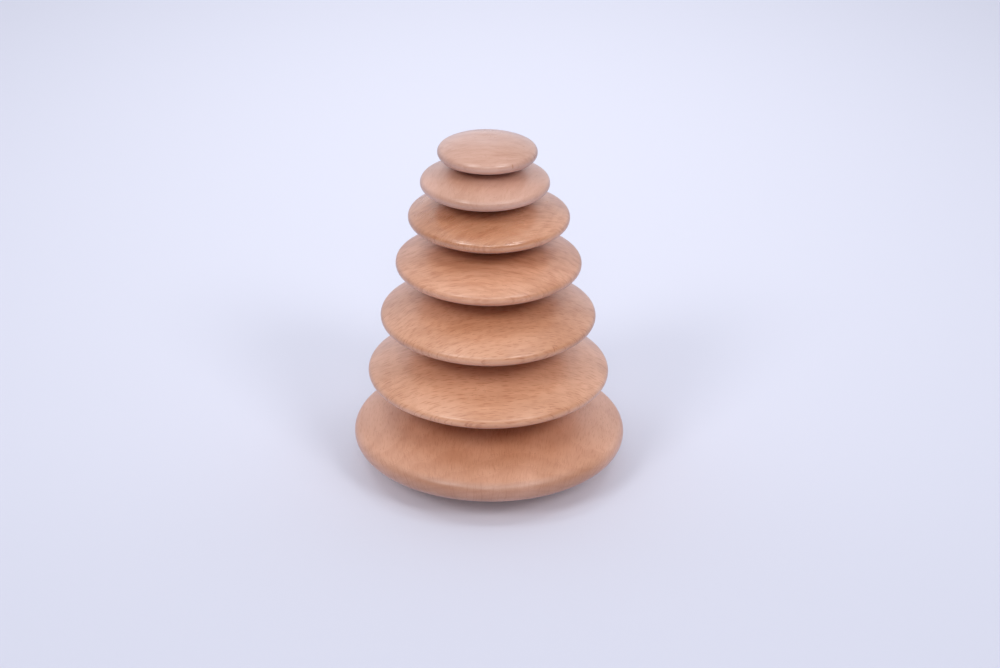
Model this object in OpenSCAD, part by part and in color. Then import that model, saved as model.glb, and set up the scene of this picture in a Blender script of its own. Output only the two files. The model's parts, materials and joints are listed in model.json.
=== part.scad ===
// A child's stacking toy: seven loose turned beech discs, each a lens-shaped
// pebble with a small flat on both faces. Nothing holds them together: each
// disc rests by its lower flat on the upper flat of the disc below it.
// The origin is the centre of the bottom flat, +Z is up, millimetres.

/* [Discs] */
// Diameter of the base disc
base_d = 100; // [90:0.5:110]
// Diameter of the second disc
second_d = 88; // [80:0.5:98]
// Diameter of the third disc
third_d = 78; // [70:0.5:86]
// Diameter of the fourth disc
fourth_d = 67; // [61:0.5:74]
// Diameter of the fifth disc
fifth_d = 58; // [53:0.5:64]
// Diameter of the sixth disc
sixth_d = 46; // [42:0.5:51]
// Diameter of the top disc
top_d = 35.5; // [33:0.5:39]

/* [Profile] */
// Height of a disc as a share of its diameter
height_share = 0.272; // [0.24:0.004:0.32]
// Diameter of the flat on each face as a share of the disc's diameter
flat_share = 0.22; // [0.12:0.01:0.4]
// Radius that rounds the rim of the base disc
base_rim_r = 4.6; // [2:0.2:7]
// Radius that rounds the rim of each disc above the base
upper_rim_r = 2.2; // [1:0.1:3]

/* [Stacking] */
// Where the second disc was set down, as X and Y from the middle of the base
second_at = [-0.5, -1]; // [-3:0.25:3]
// Where the third disc was set down
third_at = [-0.75, -1.75]; // [-3:0.25:3]
// Where the fourth disc was set down
fourth_at = [-0.75, 0]; // [-3:0.25:3]
// Where the fifth disc was set down
fifth_at = [-0.75, 2]; // [-3:0.25:3]
// Where the sixth disc was set down
sixth_at = [-2.25, -0.5]; // [-3:0.25:3]
// Where the top disc was set down
top_at = [-1.5, 0.5]; // [-3:0.25:3]

/* [Hidden] */
$fn = 180;

// Diameters and places of the discs, from the bottom of the stack to the top
disc_d = [base_d, second_d, third_d, fourth_d, fifth_d, sixth_d, top_d];
disc_at = [[0, 0], second_at, third_at, fourth_at, fifth_at, sixth_at, top_at];

// Height of a disc, the height at which its lower flat rests, and its rim
// radius, where i counts the discs up from the base, which is 0
function disc_h(i) = height_share * disc_d[i];
function rest_z(i) = i == 0 ? 0 : rest_z(i - 1) + disc_h(i - 1);
function disc_rim_r(i) = i == 0 ? base_rim_r : upper_rim_r;

// Half of a disc's cross-section, on +X. A circle rounds the rim, and above
// and below it a crown arc runs from the rim to the flat. The crown touches
// both the flat and the rim circle smoothly, and that fixes its radius.
module half_section(d, rim_r) {
    half_h = height_share * d / 2;
    flat_r = flat_share * d / 2;
    rim_x = d / 2 - rim_r;
    reach = rim_x - flat_r;
    crown_r = (reach * reach + half_h * half_h - rim_r * rim_r) / (2 * (half_h - rim_r));
    // Where the crown meets the rim circle
    meet_angle = atan2(crown_r - half_h, reach);
    meet_x = rim_x + rim_r * cos(meet_angle);

    // Core between the two flats
    translate([0, -half_h]) square([flat_r, 2 * half_h]);
    // Lens between the two crowns, from the flats out to the rim
    intersection() {
        translate([flat_r, half_h - crown_r]) circle(crown_r);
        translate([flat_r, crown_r - half_h]) circle(crown_r);
        translate([flat_r, -crown_r]) square([meet_x - flat_r, 2 * crown_r]);
    }
    // Round rim, outside the line where the crowns end
    intersection() {
        translate([rim_x, 0]) circle(rim_r);
        translate([meet_x, -rim_r]) square([rim_r, 2 * rim_r]);
    }
}

// Disc i, resting in its place on the stack
module disc(i) {
    translate([disc_at[i].x, disc_at[i].y, rest_z(i) + disc_h(i) / 2])
        rotate_extrude() half_section(disc_d[i], disc_rim_r(i));
}

module base_disc() {
    color([0.74, 0.53, 0.40]) disc(0);
}

module second_disc() {
    color([0.80, 0.60, 0.44]) disc(1);
}

module third_disc() {
    color([0.80, 0.58, 0.43]) disc(2);
}

module fourth_disc() {
    color([0.81, 0.60, 0.46]) disc(3);
}

module fifth_disc() {
    color([0.76, 0.52, 0.38]) disc(4);
}

module sixth_disc() {
    color([0.80, 0.64, 0.55]) disc(5);
}

module top_disc() {
    color([0.83, 0.67, 0.59]) disc(6);
}

base_disc();
second_disc();
third_disc();
fourth_disc();
fifth_disc();
sixth_disc();
top_disc();
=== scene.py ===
import json
import math
import random

import bpy
from mathutils import Matrix, Vector


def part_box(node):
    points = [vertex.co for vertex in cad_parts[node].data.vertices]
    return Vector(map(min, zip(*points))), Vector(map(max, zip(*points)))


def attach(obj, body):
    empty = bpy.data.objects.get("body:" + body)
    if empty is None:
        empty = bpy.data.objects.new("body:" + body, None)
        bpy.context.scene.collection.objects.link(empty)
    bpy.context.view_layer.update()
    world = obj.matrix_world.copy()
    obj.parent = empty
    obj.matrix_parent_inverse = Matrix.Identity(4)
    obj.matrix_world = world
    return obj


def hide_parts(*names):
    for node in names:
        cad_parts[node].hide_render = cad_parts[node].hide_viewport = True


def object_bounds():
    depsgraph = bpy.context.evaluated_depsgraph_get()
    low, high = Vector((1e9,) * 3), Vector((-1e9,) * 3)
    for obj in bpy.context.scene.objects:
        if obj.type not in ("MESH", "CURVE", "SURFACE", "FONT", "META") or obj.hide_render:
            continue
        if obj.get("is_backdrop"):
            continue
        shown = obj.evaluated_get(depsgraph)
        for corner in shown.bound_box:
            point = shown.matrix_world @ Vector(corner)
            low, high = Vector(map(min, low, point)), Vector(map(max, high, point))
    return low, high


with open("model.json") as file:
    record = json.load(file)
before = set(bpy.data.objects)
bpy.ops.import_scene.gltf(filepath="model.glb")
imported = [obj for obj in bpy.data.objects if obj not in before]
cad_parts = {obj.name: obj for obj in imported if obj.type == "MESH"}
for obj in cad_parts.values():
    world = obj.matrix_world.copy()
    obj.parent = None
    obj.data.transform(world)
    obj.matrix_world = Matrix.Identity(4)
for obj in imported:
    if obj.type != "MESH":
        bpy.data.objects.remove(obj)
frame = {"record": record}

cad_low, cad_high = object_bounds()
MM = 0.001


# ---------------------------------------------------------------- turned discs

# The profile's shape, as in the CAD model
FLAT_SHARE = 0.22
BASE_RIM_RADIUS = 4.6 * MM
UPPER_RIM_RADIUS = 2.2 * MM

# How finely the discs are divided
SEGMENTS = 208
FLAT_RINGS = 6
CROWN_RINGS = 30
RIM_RINGS = 14

# Depth that hand sanding took off here and there, always inwards
SANDING_DEPTH = 0.07 * MM
SANDING_WAVES = 5


def half_profile(radius, half_height, rim_radius):
    """(r, z, normal angle, share of the sanding) from the upper flat's middle to the rim's widest line."""
    flat = FLAT_SHARE * radius
    rim_x = radius - rim_radius
    reach = rim_x - flat
    crown = (reach ** 2 + half_height ** 2 - rim_radius ** 2) / (2 * (half_height - rim_radius))
    meet = math.atan2(crown - half_height, reach)
    points = []
    for i in range(FLAT_RINGS):
        points.append((flat * i / FLAT_RINGS, half_height, math.pi / 2, 0.0))
    for i in range(CROWN_RINGS):
        share = i / CROWN_RINGS
        angle = math.pi / 2 + (meet - math.pi / 2) * share
        r = flat + crown * math.cos(angle)
        z = half_height - crown + crown * math.sin(angle)
        points.append((r, z, angle, min(1.0, 4 * share)))
    for i in range(RIM_RINGS + 1):
        angle = meet * (1 - i / RIM_RINGS)
        points.append((rim_x + rim_radius * math.cos(angle), rim_radius * math.sin(angle), angle, 1.0))
    return points


def full_profile(radius, half_height, rim_radius):
    """The whole outline from the upper flat's middle to the lower flat's middle."""
    upper = half_profile(radius, half_height, rim_radius)
    lower = [(r, -z, -angle, share) for r, z, angle, share in reversed(upper[:-1])]
    return upper + lower


def sanding(seed):
    """A smooth, gentle pattern from 0 to 1 over a disc, from its angle and its place along the profile."""
    rng = random.Random(seed)
    waves = []
    for i in range(SANDING_WAVES):
        waves.append((rng.randint(2, 7), rng.uniform(1.0, 5.0), rng.uniform(0, 2 * math.pi)))

    def depth(turn, along):
        total = sum(math.cos(around * turn + down * along * math.pi + start) for around, down, start in waves)
        return 0.5 + 0.5 * total / SANDING_WAVES

    return depth


def turned_disc(name, node, rim_radius, seed):
    """A disc of the CAD node's size and place, as a lathe mesh with its poles on the two flats."""
    low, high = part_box(node)
    centre = (low + high) / 2
    radius = (high.x - low.x) / 2
    half_height = (high.z - low.z) / 2
    outline = full_profile(radius, half_height, rim_radius)
    depth_at = sanding(seed)
    last = len(outline) - 1
    points = [centre + Vector((0, 0, half_height))]
    for k, (r, z, angle, share) in enumerate(outline[1:last], start=1):
        for j in range(SEGMENTS):
            turn = 2 * math.pi * j / SEGMENTS
            depth = SANDING_DEPTH * share * depth_at(turn, k / last)
            out_r = r - depth * math.cos(angle)
            out_z = z - depth * math.sin(angle)
            points.append(centre + Vector((out_r * math.cos(turn), out_r * math.sin(turn), out_z)))
    points.append(centre - Vector((0, 0, half_height)))
    bottom = len(points) - 1
    rings = last - 1

    def at(ring, j):
        return 1 + ring * SEGMENTS + j % SEGMENTS

    faces = []
    for j in range(SEGMENTS):
        faces.append((0, at(0, j), at(0, j + 1)))
        for ring in range(rings - 1):
            faces.append((at(ring, j), at(ring + 1, j), at(ring + 1, j + 1), at(ring, j + 1)))
        faces.append((at(rings - 1, j), bottom, at(rings - 1, j + 1)))
    mesh = bpy.data.meshes.new(name)
    mesh.from_pydata(points, [], faces)
    mesh.polygons.foreach_set("use_smooth", [True] * len(mesh.polygons))
    mesh.update()
    piece = bpy.data.objects.new(name, mesh)
    bpy.context.scene.collection.objects.link(piece)
    return piece


# ---------------------------------------------------------------- shader nodes

class Nodes:
    """The nodes of a material or a world, and short calls that add to them.

    node() returns the new node, and every other call returns the new node's output.
    """

    def __init__(self, owner):
        owner.use_nodes = True
        self.tree = owner.node_tree
        self.tree.nodes.clear()

    def node(self, kind, values, **settings):
        made = self.tree.nodes.new(kind)
        for key, value in settings.items():
            setattr(made, key, value)
        for key, value in values.items():
            if isinstance(value, bpy.types.NodeSocket):
                self.tree.links.new(value, made.inputs[key])
            else:
                made.inputs[key].default_value = value
        return made

    def sum(self, a, b, operation="ADD"):
        return self.node("ShaderNodeMath", {0: a, 1: b}, operation=operation).outputs[0]

    def times(self, a, b):
        return self.sum(a, b, "MULTIPLY")

    def magnitude(self, value):
        """value without its sign."""
        return self.sum(value, 0.0, "ABSOLUTE")

    def map(self, value, from_low, from_high, to_low, to_high):
        """value from one range to another, smoothly and held at both ends."""
        values = {"Value": value, "From Min": from_low, "From Max": from_high}
        values.update({"To Min": to_low, "To Max": to_high})
        return self.node("ShaderNodeMapRange", values, interpolation_type="SMOOTHSTEP").outputs[0]

    def mix(self, share, a, b, blend="MIX"):
        """Colours a and b mixed by share."""
        made = self.node("ShaderNodeMix", {0: share, 6: a, 7: b}, data_type="RGBA", blend_type=blend)
        return made.outputs[2]

    def tint(self, colour, share, by):
        """colour multiplied by another colour, as far as share says."""
        return self.mix(share, colour, by, "MULTIPLY")

    def vector(self, a, b, operation="ADD"):
        return self.node("ShaderNodeVectorMath", {0: a, 1: b}, operation=operation).outputs[0]

    def place(self, vector, **settings):
        """vector scaled, turned and then moved, by the Mapping node's Scale, Rotation and Location."""
        return self.node("ShaderNodeMapping", {"Vector": vector, **settings}).outputs[0]

    def split(self, vector):
        return self.node("ShaderNodeSeparateXYZ", {0: vector}).outputs

    def stretch(self, vector, x, y, z, move=0.0):
        """vector's three coordinates divided by the sizes x, y and z, and moved."""
        return self.place(vector, Scale=(1 / x, 1 / y, 1 / z), Location=(move, move * 0.7, move * 1.3))

    def noise(self, vector, detail=2.0, roughness=0.5):
        values = {"Vector": vector, "Scale": 1.0, "Detail": detail, "Roughness": roughness}
        return self.node("ShaderNodeTexNoise", values).outputs[0]


# ---------------------------------------------------------------------- beech

# What grain does to the wood's own colour, as a colour that multiplies it
RAY_TINT = (0.68, 0.45, 0.29, 1)
PORE_TINT = (0.60, 0.44, 0.36, 1)
LATE_TINT = (0.74, 0.58, 0.48, 1)
DEEP_TINT = (0.90, 0.84, 0.77, 1)
PALE_TINT = (1.07, 1.10, 1.14, 1)
END_TINT = (0.74, 0.75, 0.82, 1)

# How the fibres wander from straight, in mm: the lengths over which they do, and how far
WANDER_LENGTHS = (30, 20, 20)
WANDER_DEPTHS = (0.0, 8.0, 6.0)
# How squarely the surface cuts the fibres where end grain starts to show, and where it shows in full
END_STARTS = 0.25
END_IN_FULL = 0.95
# The open grain's relief: how much of it shows through the finish, and how deep it is
RELIEF_STRENGTH = 0.09
RELIEF_DEPTH = 0.08 * MM


def wood_place(shader, flat_place, grain, dip, side, depth, seed):
    """Coordinates in the tree, in mm: along the trunk, round it and out from its pith.

    grain is the way that the trunk runs, in degrees from +X towards +Y, and dip is how far it leans out of
    the disc's plane. The pith lies side mm across the grain and depth mm below the disc's middle.
    """
    place = shader.place(flat_place, Rotation=(0, 0, -math.radians(grain)))
    place = shader.place(place, Rotation=(0, math.radians(dip), 0), Location=(0, side, depth))
    wander = {"Vector": shader.stretch(place, *WANDER_LENGTHS, seed), "Scale": 1.0, "Detail": 3.0}
    wander = shader.node("ShaderNodeTexNoise", wander).outputs["Color"]
    wander = shader.vector(wander, (-0.5, -0.5, -0.5))
    wander = shader.vector(wander, WANDER_DEPTHS, "MULTIPLY")
    parts = shader.split(shader.vector(place, wander))
    out = shader.sum(shader.sum(parts[1], 2.0, "POWER"), shader.sum(parts[2], 2.0, "POWER"))
    out = shader.sum(out, 0.5, "POWER")
    around = shader.times(shader.sum(parts[1], parts[2], "ARCTAN2"), math.hypot(side, depth))
    return shader.node("ShaderNodeCombineXYZ", {0: parts[0], 1: around, 2: out}).outputs[0], out


def slivers(shader, place, length, width, reach, sharp, amount, seed, dimensions="3D"):
    """Spindles along the grain, from 0 to 1, or sheets on edge in 2D.

    length, width and reach are their spacing in mm, sharp is how much of it they fill, and amount is the
    share of them that shows.
    """
    cells = {"Vector": shader.stretch(place, length, width, reach, seed), "Scale": 1.0}
    cells = shader.node("ShaderNodeTexVoronoi", cells, voronoi_dimensions=dimensions)
    core = shader.map(cells.outputs["Distance"], 0.10, sharp, 1.0, 0.0)
    chance = shader.node("ShaderNodeSeparateColor", {0: cells.outputs["Color"]}).outputs[0]
    return shader.times(core, shader.map(chance, 1 - amount, 1.2 - amount, 0.0, 1.0))


def end_grain(shader, grain):
    """From 0 where the surface runs along the fibres to 1 where it cuts across them."""
    trunk = (math.cos(math.radians(grain)), math.sin(math.radians(grain)), 0.0)
    normal = shader.node("ShaderNodeNewGeometry", {}).outputs["Normal"]
    across = shader.node("ShaderNodeVectorMath", {0: normal, 1: trunk}, operation="DOT_PRODUCT")
    return shader.map(shader.magnitude(across.outputs["Value"]), END_STARTS, END_IN_FULL, 0.0, 1.0)


def dent_mark(shader, flat_place, angle, reach, height, half):
    """A small dark nick near the rim, angle degrees to the right of the front.

    It lies about reach mm from the disc's middle and height mm above it, and reaches half mm up and down.
    """
    parts = shader.split(shader.place(flat_place, Rotation=(0, 0, -math.radians(angle))))
    narrow = shader.map(shader.magnitude(parts[0]), 0.10, 0.36, 1.0, 0.0)
    beyond = shader.map(parts[1], -reach, 1.5 - reach, 1.0, 0.0)
    level = shader.magnitude(shader.sum(parts[2], -height))
    short = shader.map(level, 0.5 * half, half, 1.0, 0.0)
    return shader.times(shader.times(narrow, beyond), short)


def beech(name, centre, grain, dip, side, depth, ring, seed, colour, rays, ray_length, ray_pitch,
          bands, line, fine, gloss, end=0.25, nick=None):
    """Sanded and finished beech.

    ring is the mean growth ring in mm and colour the blank's own colour. rays is the strength of the ray
    flecks. ray_length is their length and ray_pitch their spacing across the grain, in mm. bands is the
    strength of the soft light and dark bands, line that of the growth rings, fine that of the fibres and end
    that of the end grain. gloss is the surface's mean roughness.
    """
    material = bpy.data.materials.new(name)
    shader = Nodes(material)
    place = shader.node("ShaderNodeTexCoord", {}).outputs["Object"]
    place = shader.vector(place, centre, "SUBTRACT")
    flat_place = shader.stretch(place, MM, MM, MM)
    place, out = wood_place(shader, flat_place, grain, dip, side, depth, seed)

    # Growth rings: wide pale early wood that darkens towards the ring's end
    uneven = shader.times(shader.noise(shader.stretch(place, 400, 400, 3.1 * ring, seed)), 2.4 * ring)
    phase = shader.sum(shader.sum(shader.sum(out, uneven), ring, "DIVIDE"), 1.0, "FLOORED_MODULO")
    late = shader.times(shader.map(phase, 0.35, 0.93, 0.0, 1.0), shader.map(phase, 0.94, 1.0, 1.0, 0.0))
    early = shader.map(phase, 0.0, 0.45, 1.0, 0.0)

    # Ray flecks in two sizes, pores and fibres
    small_rays = slivers(shader, place, 1.6 * ray_length, ray_pitch, 1.0, 0.34, 0.85, seed + 3.1, "2D")
    large_rays = slivers(shader, place, 2.6 * ray_length, 1.5 * ray_pitch, 1.0, 0.24, 0.20, seed + 8.7, "2D")
    ray = shader.sum(shader.times(small_rays, 0.7), large_rays, "MAXIMUM")
    pores = slivers(shader, place, 1.5, 0.42, 0.42, 0.34, 0.8, seed + 15.2)
    pores = shader.times(pores, shader.map(early, 0.0, 1.0, 0.35, 1.0))
    fibre = shader.noise(shader.stretch(place, 8, 0.36, 0.36, seed + 21.4), 3.0, 0.62)
    band = shader.noise(shader.stretch(place, 20, 1.5, 1.8, seed + 27.9), 2.0, 0.5)
    patch = shader.noise(shader.stretch(place, 46, 17, 15, seed + 33.3), 2.0, 0.5)

    # Colour
    tone = shader.mix(shader.map(patch, 0.30, 0.70, 0.0, 1.0), DEEP_TINT, PALE_TINT)
    tone = shader.tint(tone, shader.times(shader.map(band, 0.30, 0.62, 1.0, 0.0), bands), LATE_TINT)
    tone = shader.tint(tone, shader.times(shader.map(fibre, 0.28, 0.62, 1.0, 0.0), fine), LATE_TINT)
    tone = shader.tint(tone, shader.times(late, line), LATE_TINT)
    tone = shader.tint(tone, shader.times(pores, 0.5), PORE_TINT)
    tone = shader.tint(tone, shader.times(ray, rays), RAY_TINT)
    tone = shader.tint(tone, shader.times(end_grain(shader, grain), end), END_TINT)
    if nick:
        tone = shader.tint(tone, shader.times(dent_mark(shader, flat_place, *nick), 0.7), RAY_TINT)
    tone = shader.tint(tone, 1.0, (*colour, 1))

    # Satin finish: a little rougher on the open grain, a little smoother where hands rub it
    handled = shader.noise(shader.stretch(place, 28, 24, 24, seed + 41.0), 3.0, 0.6)
    rough = shader.map(handled, 0.3, 0.7, gloss - 0.05, gloss + 0.05)
    rough = shader.sum(rough, shader.times(fibre, 0.06))
    rough = shader.sum(rough, shader.times(ray, 0.08))

    # Relief of the open grain under the finish
    relief = shader.sum(shader.times(fibre, 0.5), shader.times(ray, -0.4))
    relief = shader.sum(relief, shader.times(pores, -0.5))
    relief = shader.sum(relief, shader.times(band, 0.4))
    relief = {"Height": relief, "Strength": RELIEF_STRENGTH, "Distance": RELIEF_DEPTH}
    normal = shader.node("ShaderNodeBump", relief).outputs[0]

    surface = shader.node("ShaderNodeBsdfPrincipled", {
        "Base Color": tone,
        "Roughness": rough,
        "Normal": normal,
        "IOR": 1.5,
        "Specular IOR Level": 0.9,
        "Sheen Weight": 0.22,
        "Sheen Roughness": 0.4,
        "Sheen Tint": (0.45, 0.66, 1.0, 1),
    })
    shader.node("ShaderNodeOutputMaterial", {"Surface": surface.outputs[0]})
    return material


# Each disc is cut from its own blank, listed from the bottom of the stack up
BLANKS = {
    "base_disc": dict(grain=86, dip=4, side=8, depth=70, ring=2.4, colour=(0.67, 0.337, 0.203), rays=0.40,
                      ray_length=3.2, ray_pitch=0.56, bands=0.14, line=0.20, fine=0.20, gloss=0.40, end=1.0),
    "second_disc": dict(grain=4, dip=3, side=-6, depth=95, ring=3.0, colour=(0.73, 0.378, 0.224), rays=0.76,
                        ray_length=3.3, ray_pitch=0.60, bands=0.30, line=0.10, fine=0.16, gloss=0.34),
    "third_disc": dict(grain=14, dip=5, side=24, depth=66, ring=2.6, colour=(0.67, 0.336, 0.194), rays=0.72,
                       ray_length=2.6, ray_pitch=0.62, bands=0.34, line=0.10, fine=0.18, gloss=0.33,
                       nick=(37, 38.4, 1.1, 1.2)),
    "fourth_disc": dict(grain=-3, dip=3, side=14, depth=80, ring=2.4, colour=(0.71, 0.360, 0.216), rays=0.52,
                        ray_length=4.2, ray_pitch=0.72, bands=0.50, line=0.12, fine=0.20, gloss=0.34),
    "fifth_disc": dict(grain=25, dip=5, side=20, depth=70, ring=2.2, colour=(0.65, 0.321, 0.184), rays=0.55,
                       ray_length=3.8, ray_pitch=0.75, bands=0.50, line=0.20, fine=0.20, gloss=0.27),
    "sixth_disc": dict(grain=66, dip=3, side=40, depth=50, ring=1.8, colour=(0.64, 0.361, 0.262), rays=0.16,
                       ray_length=3.0, ray_pitch=0.8, bands=0.20, line=0.08, fine=0.18, gloss=0.32),
    "top_disc": dict(grain=2, dip=4, side=20, depth=60, ring=2.0, colour=(0.61, 0.347, 0.254), rays=0.18,
                     ray_length=3.0, ray_pitch=1.0, bands=0.30, line=0.16, fine=0.14, gloss=0.25,
                     nick=(30, 17.4, 0.6, 0.9)),
}
# Distance between two blanks' seeds, which sets apart the patterns of their grain
SEED_STEP = 11.3

BODY_OF = {}
for body, members in frame["record"]["behaviour"]["bodies"].items():
    for member in members:
        BODY_OF[member] = body

for place_in_stack, (node, blank) in enumerate(BLANKS.items()):
    rim_radius = BASE_RIM_RADIUS if node == "base_disc" else UPPER_RIM_RADIUS
    disc = turned_disc("turned_" + node, node, rim_radius, seed=place_in_stack + 1)
    low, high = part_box(node)
    seed = SEED_STEP * (place_in_stack + 1)
    disc.data.materials.append(beech(node + "_beech", (low + high) / 2, seed=seed, **blank))
    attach(disc, BODY_OF[node])
    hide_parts(node)


# -------------------------------------------------------- floor, light, camera

# Share of the floor's brightness that is its own glow, which keeps the shadows pale
FLOOR_GLOW = 0.08
# The floor's painted pool of light, at its palest place: how far it lies behind the stack, how far its
# painted light fades towards the back and front, and how many times sooner it fades towards the sides
SPOT_BACK = 0.42
SPOT_REACH = 0.85
SPOT_SQUEEZE = 1.45
# The paper's tooth: the size of its grains, and how high they stand
TOOTH_SIZE = 0.6 * MM
TOOTH_HEIGHT = 0.03 * MM


def stage_floor(half_width, painted_pool_colour, painted_falloff_colour):
    """A plain matt sheet that the stack stands on. Its painted pool of light darkens softly away from its
    palest place.
    """
    mesh = bpy.data.meshes.new("floor")
    corners = [(-half_width, -half_width, 0), (half_width, -half_width, 0),
               (half_width, half_width, 0), (-half_width, half_width, 0)]
    mesh.from_pydata(corners, [], [(0, 1, 2, 3)])
    floor = bpy.data.objects.new("floor", mesh)
    bpy.context.scene.collection.objects.link(floor)
    material = bpy.data.materials.new("floor_paper")
    shader = Nodes(material)
    place = shader.node("ShaderNodeTexCoord", {}).outputs["Object"]
    spot = shader.place(place, Location=(0, -SPOT_BACK, 0), Scale=(SPOT_SQUEEZE, 1, 1))
    away = shader.node("ShaderNodeVectorMath", {0: spot}, operation="LENGTH").outputs["Value"]
    # Painted pool of light: pale at the pool's middle, fading to painted shade further away
    colour = shader.mix(shader.map(away, 0.0, SPOT_REACH, 0.0, 1.0), painted_pool_colour, painted_falloff_colour)
    paper = 1 - FLOOR_GLOW
    paper = shader.tint(colour, 1.0, (paper, paper, paper, 1))
    tooth = shader.noise(shader.stretch(place, TOOTH_SIZE, TOOTH_SIZE, TOOTH_SIZE))
    tooth = {"Height": tooth, "Strength": 0.05, "Distance": TOOTH_HEIGHT}
    surface = shader.node("ShaderNodeBsdfPrincipled", {
        "Base Color": paper,
        "Roughness": 0.9,
        "Specular IOR Level": 0.1,
        "Emission Color": colour,
        "Emission Strength": FLOOR_GLOW,
        "Normal": shader.node("ShaderNodeBump", tooth).outputs[0],
    })
    shader.node("ShaderNodeOutputMaterial", {"Surface": surface.outputs[0]})
    mesh.materials.append(material)
    floor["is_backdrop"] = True


def soft_light(name, target, azimuth, elevation, distance, size, power):
    """A white square soft box that faces target. Azimuth 0 is in front, and it grows towards the right."""
    light = bpy.data.lights.new(name, "AREA")
    light.shape = "SQUARE"
    light.size = size
    light.energy = power
    a = math.radians(azimuth)
    e = math.radians(elevation)
    toward = Vector((math.sin(a) * math.cos(e), -math.cos(a) * math.cos(e), math.sin(e)))
    lamp = bpy.data.objects.new(name, light)
    lamp.visible_camera = False
    lamp.location = target + toward * distance
    lamp.rotation_mode = "QUATERNION"
    lamp.rotation_quaternion = toward.to_track_quat("Z", "Y")
    bpy.context.scene.collection.objects.link(lamp)


# Where the backdrop starts and is in full, as the part of a direction that points to the back, and the same
# for the ceiling, as the part that points up
BACKDROP_BLEND = (-0.1, 0.5)
CEILING_BLEND = (0.30, 0.85)


def studio_world(overhead, backdrop, room):
    """Light from all round: a pale ceiling, a bright backdrop behind the stack, and a dark room elsewhere."""
    world = bpy.data.worlds.new("studio")
    nodes = Nodes(world)
    parts = nodes.split(nodes.node("ShaderNodeTexCoord", {}).outputs["Generated"])
    around = nodes.mix(nodes.map(parts[1], *BACKDROP_BLEND, 0.0, 1.0), room, backdrop)
    colour = nodes.mix(nodes.map(parts[2], *CEILING_BLEND, 0.0, 1.0), around, overhead)
    background = nodes.node("ShaderNodeBackground", {"Color": colour})
    nodes.node("ShaderNodeOutputWorld", {"Surface": background.outputs[0]})
    bpy.context.scene.world = world


# Big soft boxes at the left, the right and the front, and a small high lamp on each side
BOX = {"distance": 3.0, "size": 0.8}
KEY = {"elevation": 41, "power": 21.5, **BOX}
FRONT = {"elevation": 33, "power": 13.0, **BOX}
HIGH = {"elevation": 68, "power": 1.4, "distance": 1.3, "size": 0.26}
KEY_AZIMUTH = 39
HIGH_AZIMUTH = 72

middle = Vector((0, 0, (cad_high.z - cad_low.z) / 2))
for side, sign in (("left", -1), ("right", 1)):
    soft_light("key_" + side, middle, azimuth=sign * KEY_AZIMUTH, **KEY)
    soft_light("top_" + side, middle, azimuth=sign * HIGH_AZIMUTH, **HIGH)
soft_light("front", middle, azimuth=0, **FRONT)
stage_floor(half_width=6.0, painted_pool_colour=(0.84, 0.85, 0.975, 1), painted_falloff_colour=(0.58, 0.592, 0.695, 1))
studio_world(overhead=(0.63, 0.64, 0.68, 1), backdrop=(1.05, 1.09, 1.19, 1), room=(0.015, 0.015, 0.016, 1))
bpy.context.scene.view_settings.view_transform = "Standard"

# The camera stands in front, above the stack, and looks down at it. The lens and the sensor are in mm.
CAMERA_BACK = 0.731
CAMERA_UP = 0.417
LENS = 80.5
SENSOR_WIDTH = 36.0
PITCH = math.radians(26.51)
YAW = math.radians(0.285)
ROLL = math.radians(0.647)

camera_data = bpy.data.cameras.new("camera")
camera_data.lens = LENS
camera_data.sensor_width = SENSOR_WIDTH
camera = bpy.data.objects.new("camera", camera_data)
turn = Matrix.Rotation(-YAW, 4, "Z")
turn @= Matrix.Rotation(math.pi / 2 - PITCH, 4, "X")
turn @= Matrix.Rotation(ROLL, 4, "Z")
camera.matrix_world = Matrix.Translation((0, -CAMERA_BACK, CAMERA_UP)) @ turn
bpy.context.scene.collection.objects.link(camera)
bpy.context.scene.camera = camera

low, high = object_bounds()
